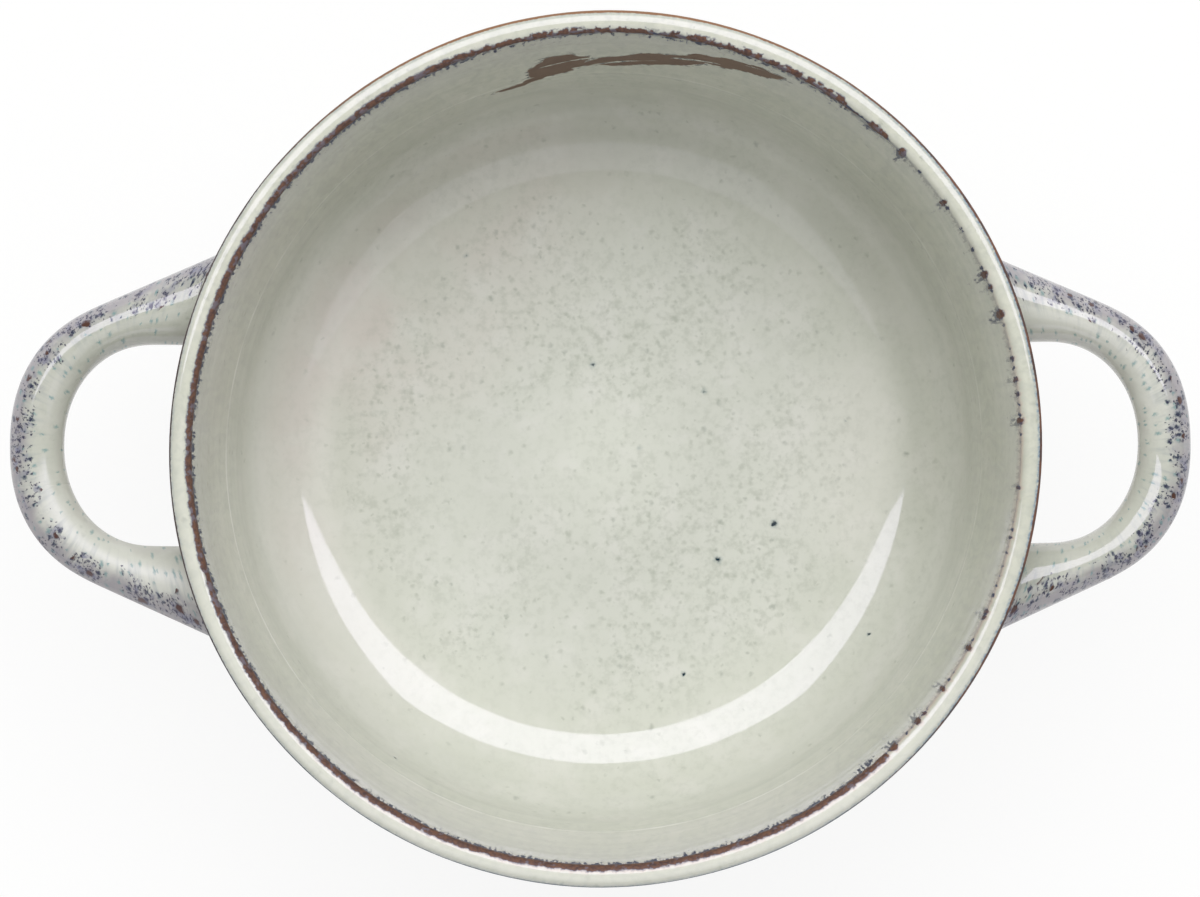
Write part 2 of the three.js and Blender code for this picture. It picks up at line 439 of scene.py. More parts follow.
def loft(name, rings, sides, closed):
    piece = startPiece(name)
    bpy.ops.mesh.delete(type="VERT")
    for ring in rings:
        addRing(ring, sides)
    pairs = list(zip(range(len(rings)), range(1, len(rings))))
    if closed:
        pairs.append((len(rings) - 1, 0))
    for pair in pairs:
        bpy.ops.mesh.select_all(action="DESELECT")
        shape = bmesh.from_edit_mesh(piece.data)
        shape.verts.ensure_lookup_table()
        for number in pair:
            for i in range(sides):
                shape.verts[number * sides + i].select = True
        shape.select_flush(True)
        bpy.ops.mesh.bridge_edge_loops()
    if not closed:
        bpy.ops.mesh.select_all(action="DESELECT")
        bpy.ops.mesh.select_non_manifold()
        bpy.ops.mesh.fill_holes(sides=0)
    bpy.ops.mesh.select_all(action="SELECT")
    bpy.ops.mesh.normals_make_consistent(inside=False)
    bpy.ops.object.mode_set(mode="OBJECT")
    for key in ("along", "outer", "top"):  # place on the straightened bar, for the glaze
        piece.data.attributes.new(key, "FLOAT", "POINT")
    for i, vertex in enumerate(piece.data.vertices):
        ring = rings[i // sides]
        arm = vertex.co - ring["centre"]
        across = arm.dot(ring["across"]) / ring["halfWidth"]
        rise = arm.dot(ring["up"]) / ring["halfDepth"]
        flat = Vector((across, rise)).normalized()
        for key, value in (("along", ring["along"]), ("outer", flat.x), ("top", flat.y)):
            piece.data.attributes[key].data[i].value = value
    return piece


def makeHandle(h, wall, name, turn, ends):
    spin = Matrix.Rotation(turn, 3, "Z")
    fingerTip = wall["radius"] + h["fingerDepth"]
    wallHere = wall["radius"] - (wall["top"] - rimTop + h["drop"]) * math.tan(wall["lean"])
    edges = [
        loopEdge(h, fingerTip, 0, h["innerSquareness"], wallHere),
        loopEdge(h, fingerTip + h["barWidth"], math.tan(h["flare"]), h["outerSquareness"], wallHere),
    ]
    length = sum((b - a).length for edge in edges for a, b in zip(edge, edge[1:])) / 2

    def ringAt(fromRoot, side, grown=0.0, deeper=0.0):
        ring = loopRing(h, edges, min(1, max(0, 1 - fromRoot / length)), side)
        ring["along"] = side * (length - fromRoot + max(grown, 0))
        near = max(0, 1 - fromRoot / (2 * h["fillet"]))
        radial = Vector((ring["centre"].x, ring["centre"].y, 0)).normalized()
        level = ring["across"].cross(ring["up"])
        tilt = math.tan(wall["lean"]) * near
        ring["up"] = (ring["up"] + level * level.dot(radial) * tilt).normalized()
        ring["centre"] -= radial * deeper
        ring["halfWidth"] += grown
        ring["halfDepth"] += grown
        for key in ("centre", "across", "up"):
            ring[key] = spin @ ring[key]
        return ring

    count = round(length / h["spacing"])
    rings = [ringAt(0, -1, deeper=h["sunk"])]
    for i in range(-count, count + 1):
        rings.append(ringAt(length * (1 - abs(i) / count), math.copysign(1, i)))
    rings.append(ringAt(0, 1, deeper=h["sunk"]))
    bar = loft("handle" + name, rings, h["sides"], closed=False)
    joints = []
    for side, end in zip((1, -1), ends):
        rings = [ringAt(h["fillet"], side, -h["tucked"])]
        for i in range(h["filletRings"] + 1):
            angle = math.pi / 2 * i / h["filletRings"]
            gone = h["fillet"] * math.sin(angle)
            rings.append(ringAt(h["fillet"] - gone, side, h["fillet"] * (1 - math.cos(angle)) + h["cover"]))
        rings.append(ringAt(0, side, h["fillet"], h["sunk"]))
        rings.append(ringAt(0, side, -h["tucked"], h["sunk"]))
        joint = loft("slip" + name + end, rings, h["sides"], closed=True)
        onWall = joint.vertex_groups.new(name="onWall")
        first = (h["filletRings"] + 1) * h["sides"]
        onWall.add(list(range(first, first + h["sides"])), 1, "REPLACE")
        applyModifier(joint, "SHRINKWRAP", target=bowlPiece, vertex_group="onWall", offset=h["cover"])
        joints.append(joint)
    for piece in (bar, *joints):
        bpy.ops.object.select_all(action="DESELECT")
        piece.select_set(True)
        bpy.context.view_layer.objects.active = piece
        applyModifier(piece, "SUBSURF", levels=h["levels"], render_levels=h["levels"])
        bpy.ops.object.shade_smooth()
    return bar, joints


handles = {}
for name, (turn, own, ends) in handleSet.items():
    bar, joints = makeHandle({**handle, **own}, outerWall, name, turn, ends)
    for piece in (bar, *joints):
        handles[piece.name] = piece
    print("handle:", bar.name, len(bar.data.polygons), "faces")

# Glaze: a glossy stoneware glaze that pools pale and speckled on flat places and breaks to brown on edges
glaze = {
    "green": "#d2d4ca",
    "warm": "#d7cfc9",
    "warmth": 0.9,
    "warmSide": (math.radians(150), 10 * mm, 60 * mm),  # turn, and where it begins and is full from the axis
    "pooled": (9.5 * mm, 18 * mm),  # height up to where the glaze lies warm, and where it ends
    "patchSize": 30 * mm,
    "pale": "#dbdbd4",
    "cloudSize": 7 * mm,
    "cloudiness": 0.5,
    "gatherSize": 20 * mm,  # places where flecks lie thicker
    "gathered": (0.3, 0.85),  # least and largest share of the flecks
    "mottle": (1.6 * mm, "#a4a99b", 0.5),  # soft grains: size, colour, strength
    # flecks from faint to dark: spacing, radius, colour, strength, softness
    "flecks": (
        (1.5 * mm, 0.7 * mm, "#a2a799", 0.45, 1.0),
        (3.1 * mm, 0.75 * mm, "#838b80", 0.42, 1.0),
        (11 * mm, 1.0 * mm, "#3c6670", 0.6, 1.0),
        (11 * mm, 0.6 * mm, "#132a35", 1.0, 0.6),
    ),
    "flecked": (42 * mm, 50 * mm),  # out to where flecks lie thick, and where they thin out
    "flecksPast": 0.14,  # share of the flecks past that, and of the grains
    "grainsPast": 0.5,
    "ragged": (0.9 * mm, 1.1 * mm),  # size and reach of what pulls the flecks out of round
    "waves": ((14 * mm, 0.012 * mm), (2.2 * mm, 0.001 * mm)),  # of its surface: size and height
    "roughness": (0.05, 0.09),
    "ior": 1.67,
    "shine": "#efe9ff",  # cool cast of its reflections
}


def startGlaze(name):  # a material, what adds its nodes, the place on the bowl and the way out from its axis
    material = bpy.data.materials.new(name)
    material.use_nodes = True
    material.node_tree.nodes.clear()
    add = partial(addNode, material.node_tree)
    place = add("TexCoord").outputs["Object"]
    flat = add("VectorMath", [place, (1, 1, 0)], "MULTIPLY")
    return material, add, place, add("VectorMath", [flat], "NORMALIZE")


def overlap(add, *masks):  # 1 where all the masks are, 0 where one is missing
    shared = masks[0]
    for mask in masks[1:]:
        shared = add("Math", [shared, mask], "MULTIPLY")
    return shared


def laid(add, colour, *coats):  # coats over a colour, each where its mask is
    for mask, tint in coats:
        colour = add("MixRGB", [mask, colour, tint])
    return colour


def patches(add, place, size, span, values, detail=2.0):  # noise of that size, as patches with soft edges
    noise = add("TexNoise", {"Vector": place, "Scale": 1 / size, "Detail": detail})
    return add("MapRange", [noise, *span, *values], **smooth)


def waves(add, place, size, height, detail=2.0):  # noise of that size, as a distance either way
    noise = add("TexNoise", {"Vector": place, "Scale": 1 / size, "Detail": detail})
    return add("MapRange", [noise, 0.25, 0.75, -height, height])


def pulled(add, place, size, reach, moved):  # a place, moved about by noise of that size
    noise = add("TexNoise", {"Vector": place, "Scale": 1 / size, "Detail": 2.0})
    push = add("VectorMath", [noise.outputs["Color"], (0.5, 0.5, 0.5)], "SUBTRACT")
    push = add("VectorMath", [push, (reach, reach, reach)], "MULTIPLY")
    return add("VectorMath", [moved, push], "ADD")


def specks(add, place, spacing, radius, share, softness, dimensions="3D"):
    cells = add("TexVoronoi", {"Vector": place, "Scale": 1 / spacing}, voronoi_dimensions=dimensions)
    chance = add("SeparateColor", [cells.outputs["Color"]])
    size = add("MapRange", [chance, 0, 1, 0.5 * radius / spacing, 1.2 * radius / spacing])
    core = add("Math", [size, 1 - softness], "MULTIPLY")
    spot = add("MapRange", [cells.outputs["Distance"], core, size, 1, 0], **smooth)
    kept = add("Math", [chance.outputs[1], share], "LESS_THAN")
    return overlap(add, spot, kept)


def facing(add, outward, turn, low, high):  # 1 on the side of the bowl towards that turn, 0 away from it
    way = (math.cos(turn), math.sin(turn), 0)
    side = add("VectorMath", [outward, way], "DOT_PRODUCT")
    return add("MapRange", [side.outputs["Value"], low, high, 0, 1], **smooth)


def within(add, here, edge, softness):  # 1 short of the edge, 0 past it
    past = add("Math", [here, edge], "SUBTRACT")
    return add("MapRange", [past, -softness, softness, 1, 0], **smooth)


def glazeGround(add, place, g, warmest):
    height = add("SeparateXYZ", [place]).outputs["Z"]
    low = add("MapRange", [height, *g["pooled"], 1, 0], **smooth)
    warmth = patches(add, place, g["patchSize"], (0.4, 0.6), (0.2 * warmest, warmest))
    warmth = overlap(add, warmth, facing(add, place, *g["warmSide"]), low)
    paleness = patches(add, place, g["cloudSize"], (0.45, 0.7), (0, g["cloudiness"]), 3.0)

    gather = add("TexNoise", {"Vector": place, "Scale": 1 / g["gatherSize"], "Detail": 1.0})
    share = add("MapRange", [gather, 0.35, 0.65, *g["gathered"]])
    flat = add("VectorMath", [place, (1, 1, 0)], "MULTIPLY")
    out = add("VectorMath", [flat], "LENGTH").outputs["Value"]
    grainSize, grainTint, grainStrength = g["mottle"]
    grains = add("TexNoise", {"Vector": place, "Scale": 1 / grainSize, "Detail": 4.0, "Roughness": 0.65})
    grains = add("MapRange", [grains, 0.42, 0.72, 0, grainStrength], **smooth)
    fewer = add("MapRange", [out, *g["flecked"], 1, g["grainsPast"]], **smooth)
    coats = [(warmth, g["warm"]), (paleness, g["pale"]), (overlap(add, grains, fewer, share), grainTint)]
    fewer = add("MapRange", [out, *g["flecked"], 1, g["flecksPast"]], **smooth)
    share = overlap(add, share, fewer)
    ragged = pulled(add, place, *g["ragged"], place)
    for spacing, radius, tint, strength, softness in g["flecks"]:
        coats.append((overlap(add, specks(add, ragged, spacing, radius, share, softness), strength), tint))
    return laid(add, g["green"], *coats)


def glazeSurface(add, place, g, colour, dry, height):
    gloss = add("TexNoise", {"Vector": place, "Scale": 1 / g["cloudSize"], "Detail": 1.0})
    roughness = add("MapRange", [gloss, 0.3, 0.7, *g["roughness"]])
    roughness = add("Math", [roughness, dry], "MAXIMUM")
    for size, rise in g["waves"]:
        height = add("Math", [height, waves(add, place, size, rise, 1.0)], "ADD")
    bump = add("Bump", {"Height": height, "Distance": 1.0, "Strength": 1.0})
    looks = {"Base Color": colour, "Roughness": roughness, "Normal": bump}
    looks.update({"IOR": g["ior"], "Specular Tint": g["shine"]})
    add("OutputMaterial", [add("BsdfPrincipled", looks)])


# Lines where the glaze breaks to brown, one on each edge of the lip
breakLine = {
    "brown": "#714e37",
    "dark": "#46322b",
    "between": "#726c76",  # thinner glaze between the beads
    "ink": "#3f475d",  # where the glaze pools beside the brown
    "haze": "#9b9a9f",
    "blush": "#cfae9f",  # glaze thinned to pink along the lip's side of the line
    "outerDark": "#43352d",
    "outerRust": "#8c6440",
    "outerBrown": "#714a32",
    "outerCool": "#53656d",
    "fringe": "#7f98ad",
    # sides of the bowl: turn, and the cosines where each begins and is full
    "sides": {
        "spotted": (0.0, 0.5, 0.88),  # the inner line falls apart into spots
        "gappy": (math.radians(78), 0.75, 0.97),
        "rosy": (math.radians(300), -0.2, 0.6),
        "heavy": (math.radians(5), 0.3, 0.9),  # the outer line has a blue fringe
        "rusty": (math.radians(92), 0.6, 0.98),
        "cool": (math.radians(268), 0.3, 0.95),
    },
    "wander": (9 * mm, 0.09 * mm),  # size and height of the lines' waves
    "clump": (0.6 * mm, 0.13 * mm),  # size and height of their teeth
    "grain": 0.6 * mm,
    "drawn": 0.1,  # how the pattern is drawn out down the wall
    "bead": 1.3 * mm,
    "broken": 4 * mm,  # length of thick and thin stretches
    "missing": (0.1, 0.9),  # how much the inner line is worn where it is whole, and in spots
    "missingInGaps": 0.1,
    "thin": (0.87, 0.5),  # thickness between beads, and on the gappy side
    "beadEdge": (0.43, 0.47),  # noise up to which the line is thin between beads, and on the gappy side
    "beadEdgeRosy": -0.08,
    "edge": 0.1 * mm,
    "onWall": (0.7 * mm, 3.5 * mm),  # reach of the inner line, and of its spots
    "onLip": 1.1 * mm,
    "spikeSpacing": 0.55 * mm,
    "spike": (0.2 * mm, 7 * mm),  # shortest and longest run of the ink down the wall
    "inkStrength": 0.95,
    "inkOnLip": (0.15 * mm, 0.25 * mm),  # reach past the line, and softness
    "inked": (0.4, 0.3),  # ink more on the gappy side, and everywhere
    "hazeReach": 30 * mm,
    "hazeStrength": 0.28,
    "blushOnLip": (0.5 * mm, 0.4 * mm),
    "blushOnWall": (2 * mm, 2 * mm),
    "blushStrength": 0.4,
    # spots: spacing, smallest, largest, share that is left out
    "spots": (
        (8.5 * mm, 0.4 * mm, 0.9 * mm, 0.05),
        (4.3 * mm, 0.2 * mm, 0.6 * mm, 0.45),
        (2.1 * mm, 0.12 * mm, 0.38 * mm, 0.4),
    ),
    "biggestSpot": 1.0 * mm,
    "spotRagged": (0.7 * mm, 0.35 * mm),
    "spotInk": 3.6,  # how much further the ink runs at spots
    "spotInkWide": (0.9, 2.6),  # and how far to their sides, in spots
    "outerOnWall": 1.0 * mm,
    "outerOnLip": (0.55 * mm, 0.3 * mm),  # reach of the outer line, and on the cool side
    "outerMore": 0.25 * mm,  # and how much further on the rusty and the heavy side
    "fringeReach": 0.7 * mm,
    "dryness": 0.7,
}


def lineBase(add, place, outward, line):  # what both lines are drawn with
    base = {name: facing(add, outward, *side) for name, side in line["sides"].items()}
    for name in ("broken", "bead"):
        base[name] = add("TexNoise", {"Vector": place, "Scale": 1 / line[name], "Detail": 2.0})
    base["tall"] = add("Mapping", {"Vector": place, "Scale": (1, 1, line["drawn"])})
    grain = waves(add, base["tall"], line["grain"], 0.5)
    base["uneven"] = add("Math", [grain, 1.0], "ADD")
    base["teeth"] = waves(add, place, *line["clump"], 3.0)
    base["wander"] = waves(add, place, *line["wander"])
    return base


def pastMark(add, run, mark, wander):  # how far past a wandering mark on the profile, and how far short of it
    past = add("Math", [run, mark], "SUBTRACT")
    past = add("Math", [past, wander], "ADD")
    return past, add("Math", [past, -1.0], "MULTIPLY")


def innerLevel(add, place, line, base):  # how thick the inner line is: whole, beaded or only in spots
    gone = add("MapRange", [base["spotted"], 0, 1, *line["missing"]])
    gone = add("Math", [base["gappy"], line["missingInGaps"], gone], "MULTIPLY_ADD")
    level = add("Math", [base["broken"], gone], "SUBTRACT")
    level = add("MapRange", [level, 0, 0.22, 0, 1], **smooth)
    thin = add("MapRange", [base["gappy"], 0, 1, *line["thin"]])
    thickness = add("MapRange", [base["bead"], 0.38, 0.6, thin, 1.05], **smooth)
    level = overlap(add, level, thickness)
    inked = add("Math", [base["gappy"], *line["inked"]], "MULTIPLY_ADD")

    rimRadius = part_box("bowl_body")[1].x
    parts = add("SeparateXYZ", [place])
    angle = add("Math", [parts.outputs["Y"], parts.outputs["X"]], "ARCTAN2")
    raggedSize, raggedReach = line["spotRagged"]
    ragged = waves(add, place, raggedSize, raggedReach / rimRadius)
    angle = add("Math", [angle, ragged], "ADD")
    fallen = add("Math", [base["spotted"], 2.5], "MULTIPLY", use_clamp=True)
    for spacing, smallest, largest, least in line["spots"]:
        cells = add("TexVoronoi", {"W": angle, "Scale": rimRadius / spacing}, voronoi_dimensions="1D")
        chance = add("SeparateColor", [cells.outputs["Color"]])
        size = add("MapRange", [chance, least, 1, smallest / spacing, largest / spacing])
        gap = add("Math", [cells.outputs["Distance"], size], "DIVIDE")
        square = add("Math", [gap, gap], "MULTIPLY")
        spot = add("Math", [1.0, square], "SUBTRACT", use_clamp=True)
        spot = add("Math", [spot], "SQRT")
        kept = add("Math", [chance, least], "GREATER_THAN")
        kept = overlap(add, kept, fallen)
        reach = add("Math", [size, spacing / line["biggestSpot"]], "MULTIPLY")
        spot = overlap(add, spot, kept, reach)
        level = add("Math", [level, spot], "MAXIMUM")
        around = add("MapRange", [gap, *line["spotInkWide"], 1, 0.1], **smooth)
        around = overlap(add, around, kept)
        around = add("Math", [around, reach], "MULTIPLY", use_clamp=True)
        inked = add("Math", [inked, around], "MAXIMUM")
    return level, add("Math", [inked, level], "MAXIMUM")


def paintInnerLine(add, place, run, colour, line, base, at):
    level, inked = innerLevel(add, place, line, base)
    above, below = pastMark(add, run, at["innerBreak"], base["wander"])
    wallEdge = add("MapRange", [base["spotted"], 0, 1, *line["onWall"]])
    wallEdge = overlap(add, wallEdge, base["uneven"], level)
    lipEdge = add("Math", [level, line["onLip"], base["teeth"]], "MULTIPLY_ADD")

    reach, softness = line["blushOnLip"]
    blushEdge = add("Math", [lipEdge, reach], "ADD")
    blush = overlap(add, within(add, above, blushEdge, softness), base["rosy"])
    blush = overlap(add, blush, within(add, below, *line["blushOnWall"]), line["blushStrength"])

    reach, softness = line["inkOnLip"]
    overLip = add("Math", [lipEdge, reach], "ADD")
    onLip = within(add, above, overLip, softness)
    haze = add("MapRange", [below, 0, line["hazeReach"], line["hazeStrength"], 0], **smooth)
    spikes = add("TexNoise", {"Vector": base["tall"], "Scale": 1 / line["spikeSpacing"], "Detail": 3.0})
    spikes = add("MapRange", [spikes, 0.42, 0.75, *line["spike"]])
    further = add("MapRange", [base["spotted"], 0, 1, 1, line["spotInk"]])
    inkLength = overlap(add, spikes, inked, further)
    inkFull = add("Math", [inkLength, 0.4, wallEdge], "MULTIPLY_ADD")
    inkEdge = add("Math", [inkLength, wallEdge], "ADD")
    ink = add("MapRange", [below, inkFull, inkEdge, line["inkStrength"], 0], **smooth)
    haze, ink = [overlap(add, stain, onLip, inked) for stain in (haze, ink)]

    there = add("MapRange", [level, 0.05, 0.25, 0, 1])
    stripe = overlap(add, within(add, below, wallEdge, line["edge"]), there)
    stripe = overlap(add, stripe, within(add, above, lipEdge, line["edge"]))
    tone = add("MapRange", [base["teeth"], -0.1 * mm, 0.08 * mm, 0, 1])
    beadEdge = add("MapRange", [base["gappy"], 0, 1, *line["beadEdge"]])
    beadEdge = add("Math", [base["rosy"], line["beadEdgeRosy"], beadEdge], "MULTIPLY_ADD")
    between = add("Math", [beadEdge, base["bead"]], "SUBTRACT")
    between = add("MapRange", [between, -0.06, 0.06, 0, 0.8], **smooth)
    brown = laid(add, line["dark"], (tone, line["brown"]), (between, line["between"]))
    core = add("MapRange", [level, 0.3, 0.6, 0, 1], **smooth)
    brown = laid(add, line["ink"], (core, brown))
    coats = ((blush, line["blush"]), (haze, line["haze"]), (ink, line["ink"]), (stripe, brown))
    return laid(add, colour, *coats), add("Math", [stripe, ink], "MAXIMUM")


def paintOuterLine(add, run, colour, line, base, at):
    beyond, short = pastMark(add, run, at["outerBreak"], base["wander"])
    lipEdge = add("MapRange", [base["cool"], 0, 1, *line["outerOnLip"]])
    more = add("Math", [base["heavy"], base["rusty"]], "MAXIMUM")
    lipEdge = add("Math", [more, line["outerMore"], lipEdge], "MULTIPLY_ADD")
    lipEdge = add("Math", [base["teeth"], 0.5, lipEdge], "MULTIPLY_ADD")
    wallEdge = add("Math", [base["uneven"], line["outerOnWall"]], "MULTIPLY")
    onWall = within(add, beyond, wallEdge, line["edge"])

    fringeEdge = add("Math", [lipEdge, line["fringeReach"]], "ADD")
    fringe = add("MapRange", [short, lipEdge, fringeEdge, 1.0, 0], **smooth)
    strewn = add("MapRange", [base["teeth"], -0.1 * mm, 0.06 * mm, 0, 1])
    fringed = add("MapRange", [base["heavy"], 0, 1, 0.3, 1])
    fringe = overlap(add, fringe, strewn, fringed, onWall)

    stripe = overlap(add, onWall, within(add, short, lipEdge, line["edge"]))
    browned = add("MapRange", [base["broken"], 0.42, 0.56, 0.25, 1], **smooth)
    browned = overlap(add, browned, base["heavy"])
    dark = laid(add, line["outerDark"], (base["rusty"], line["outerRust"]), (base["cool"], line["outerCool"]))
    dark = laid(add, dark, (browned, line["outerBrown"]))
    return laid(add, colour, (fringe, line["fringe"]), (stripe, dark)), stripe


# A bare stroke on the far inner wall where the glaze pulled back: middles and half sizes of its lobes,
# as distance round the wall from its middle and down from the lip
bareStroke = {
    "turn": math.radians(84),
    "slope": 0.415,  # how it drops along the wall
    "lobes": (
        ((15.5 * mm, 15.5 * mm), (5.5 * mm, 7 * mm)),
        ((1 * mm, 18.5 * mm), (11 * mm, 4.2 * mm)),
        ((-14 * mm, 15.5 * mm), (11 * mm, 3.2 * mm)),
        ((19 * mm, 21.5 * mm), (7 * mm, 1.2 * mm)),
    ),
    "warp": (5 * mm, 6 * mm),
    "slits": 2.5 * mm,  # where glaze is left in it
    "slitDrawn": 0.16,
    "frayed": 1.2 * mm,
    "colour": "#806a55",
    "shade": "#69523f",
    "fringe": "#3b4150",
    "depth": 0.08 * mm,
    "dryness": 0.75,
}


def paintStroke(add, place, run, colour, stroke, at):
    flat = add("Mapping", {"Vector": place, "Rotation": (0, 0, math.pi / 2 - stroke["turn"])})
    parts = add("SeparateXYZ", [flat])
    farSide = add("MapRange", [parts.outputs["Y"], 0, 20 * mm, 0, 1])
    turned = add("Math", [parts.outputs["X"], -1.0], "MULTIPLY")
    down = add("Math", [at["innerTop"], run], "SUBTRACT")
    down = add("Math", [turned, -stroke["slope"], down], "MULTIPLY_ADD")
    here = add("CombineXYZ", [turned, down])
    size, reach = stroke["warp"]
    warped = pulled(add, place, size, reach, here)
    nearest = None
    for middle, half in stroke["lobes"]:
        gap = add("VectorMath", [warped, (*middle, 0)], "SUBTRACT")
        gap = add("VectorMath", [gap, (1 / half[0], 1 / half[1], 0)], "MULTIPLY")
        gap = add("VectorMath", [gap], "LENGTH").outputs["Value"]
        nearest = gap if nearest is None else add("Math", [nearest, gap], "MINIMUM")
    slitPlace = add("Mapping", {"Vector": here, "Scale": (stroke["slitDrawn"], 1, 1)})
    opened = patches(add, slitPlace, stroke["slits"], (0.62, 0.66), (1, 0))
    inside = add("MapRange", [nearest, 0.92, 1.0, 1, 0], **smooth)
    bare = overlap(add, inside, opened, farSide)
    close = add("MapRange", [nearest, 1.0, 1.16, 0.8, 0], **smooth)
    frayed = patches(add, place, stroke["frayed"], (0.45, 0.6), (0, 1))
    fringe = overlap(add, close, frayed, farSide)
    shade = add("TexNoise", {"Vector": place, "Scale": 1 / size, "Detail": 3.0})
    tone = laid(add, stroke["colour"], (shade, stroke["shade"]))
    return laid(add, colour, (fringe, stroke["fringe"]), (bare, tone)), bare


# Bare clay on the foot ring, where the glaze was wiped off
foot = {
    "clay": "#a98f76",
    "dark": "#8a6f5a",
    "grit": 0.6 * mm,
    "gritHeight": 0.05 * mm,
    "edge": (9 * mm, 1.2 * mm),  # size and height of the waves in its edge
    "fade": 0.4 * mm,
    "dryness": 0.85,
}


def paintFoot(add, place, run, colour, f, at):
    edge = add("Math", [run, waves(add, place, *f["edge"])], "ADD")
    first = add("MapRange", [edge, at["footSide"], at["footSide"] + f["fade"], 0, 1], **smooth)
    last = add("MapRange", [edge, at["footInside"], at["footInside"] + f["fade"], 1, 0], **smooth)
    clay = overlap(add, first, last)
    grit = add("TexNoise", {"Vector": place, "Scale": 1 / f["grit"], "Detail": 3.0})
    tone = laid(add, f["clay"], (grit, f["dark"]))
    return laid(add, colour, (clay, tone)), clay, overlap(add, grit, clay, f["gritHeight"])


# Runs of glaze down the walls, turning lines, and a pale line along the throwing ridge
wallMarks = {
    "run": "#b4b8ae",
    "runStrength": 0.35,
    "runWidth": 1.6 * mm,
    "runDrawn": 0.1,  # how the pattern is drawn out down the wall
    "runWander": (8 * mm, 6 * mm),
    "turning": (((0.45, 0.7), "#e2e3d8"), ((0.55, 0.3), "#b3b8ab")),  # pale and dark lines
    "turningStrength": 0.11,
    "turningWidth": 2.4 * mm,
    "turningDrawn": 0.11,  # and round it, for these
    "ridge": "#f2f2ec",
    "ridgeStrength": 0.65,
    "ridgeReach": (0.2 * mm, 1.1 * mm),
    "ridgePatches": 9 * mm,
    "ridgePlain": (math.radians(225), -0.2, 0.7),  # side where it shows more
}


def paintWalls(add, place, run, outward, colour, w, at):
    loose = pulled(add, place, *w["runWander"], place)
    tall = add("Mapping", {"Vector": loose, "Scale": (1, 1, w["runDrawn"])})
    runny = patches(add, tall, w["runWidth"], (0.4, 0.7), (0, w["runStrength"]), 3.0)
    inWall = add("MapRange", [run, at["wall"] - 4 * mm, at["wall"] + 12 * mm, 0, 1], **smooth)
    outWall = add("MapRange", [run, at["outerCorner"], at["under"], 1, 0], **smooth)
    coats = [(overlap(add, inWall, outWall, runny), w["run"])]

    rings = add("Mapping", {"Vector": place, "Scale": (w["turningDrawn"], w["turningDrawn"], 1)})
    turning = add("TexNoise", {"Vector": rings, "Scale": 1 / w["turningWidth"], "Detail": 2.0})
    turned = add("MapRange", [run, at["corner"] + 4 * mm, at["wall"] - 4 * mm, 0, 1], **smooth)
    inside = add("MapRange", [run, at["innerTop"] - 3 * mm, at["innerTop"], 1, 0], **smooth)
    turned = overlap(add, turned, inside)
    for span, tint in w["turning"]:
        lined = add("MapRange", [turning, *span, 0, w["turningStrength"]], **smooth)
        coats.append((overlap(add, lined, turned), tint))

    # a pale line along the throwing ridge, in patches, stronger on one side
    fromRidge = add("Math", [run, at["ridge"]], "SUBTRACT")
    fromRidge = add("Math", [fromRidge], "ABSOLUTE")
    onRidge = add("MapRange", [fromRidge, *w["ridgeReach"], w["ridgeStrength"], 0], **smooth)
    patchy = patches(add, place, w["ridgePatches"], (0.4, 0.6), (0.3, 1))
    plain = add("MapRange", [facing(add, outward, *w["ridgePlain"]), 0, 1, 0.4, 1])
    return laid(add, colour, *coats, (overlap(add, onRidge, patchy, plain), w["ridge"]))


# Colours of the bowl's zones, laid over the ground: mark, distance past it, colour
bowlZones = (
    ("start", 0.0, "#ffffff"),
    ("start", 20 * mm, "#f5f5f5"),
    ("corner", -12 * mm, "#fbfbfb"),
    ("corner", 2 * mm, "#fffffd"),
    ("wall", 0.0, "#fcfcf9"),
    ("innerTop", -16 * mm, "#fefef7"),
    ("innerTop", -3 * mm, "#fafaf3"),
    ("innerBreak", 0.3 * mm, "#efeee8"),
    ("crest", 0.0, "#fffef8"),
    ("outerBreak", 0.0, "#f2f2ee"),
    ("outerTop", 9 * mm, "#f2f3ef"),
    ("outerCorner", 0.0, "#f8f8f4"),
    ("under", 0.0, "#f0f1ec"),
)
# Painted shade and painted light on some sides of the bowl, and tints of the glaze: turn in degrees, sector,
# where it begins and is full, where it fades and is gone, strength, share left past that, colour and how that
# is laid on
wallBegins = (("corner", 1 * mm), ("corner", 9 * mm))
wallEnds = (("innerTop", -25 * mm), ("innerTop", -5 * mm))
highBegins = (("innerTop", -25 * mm), ("innerTop", -12 * mm))
highEnds = (("innerBreak", 0.0), ("crest", 0.0))
paintedLightAndGlazeTints = (
    # painted shade: the side walls darker, and the upper walls towards the front left and right
    (17, (0.72, 0.97), wallBegins, wallEnds, 1.0, 0, "#f1f1ef", "MULTIPLY"),
    (150, (0.72, 0.97), wallBegins, wallEnds, 0.8, 0, "#f1f1ef", "MULTIPLY"),
    (205, (0.8, 0.97), highBegins, highEnds, 0.8, 0, "#f3f3f1", "MULTIPLY"),
    (335, (0.8, 0.97), highBegins, highEnds, 1.0, 0, "#f3f3f1", "MULTIPLY"),
    # a paler band in the corner on the left
    (188, (0.5, 0.95), (("corner", -2 * mm), ("corner", 3 * mm)), (("wall", -9 * mm), ("wall", -1 * mm)),
     0.3, 0, "#eeebe5", "MIX"),
    # painted light: the floor's edge paler on the right
    (0, (0.88, 0.99), (("corner", -25 * mm), ("corner", -2 * mm)), (("corner", 1 * mm), ("corner", 8 * mm)),
     0.26, 0, "#eeebe5", "MIX"),
    (265, (0.55, 0.95), (("ridge", -2 * mm), ("ridge", 3 * mm)), highEnds, 0.2, 0, "#f0e8ee", "MIX"),
    # painted light: the lip paler on the near side
    (258, (-0.1, 0.8), (("innerBreak", 0.4 * mm), ("crest", 0.0)), (("crest", 0.0), ("outerBreak", 0.0)),
     0.4, 0.2, "#f0f0e8", "MIX"),
)


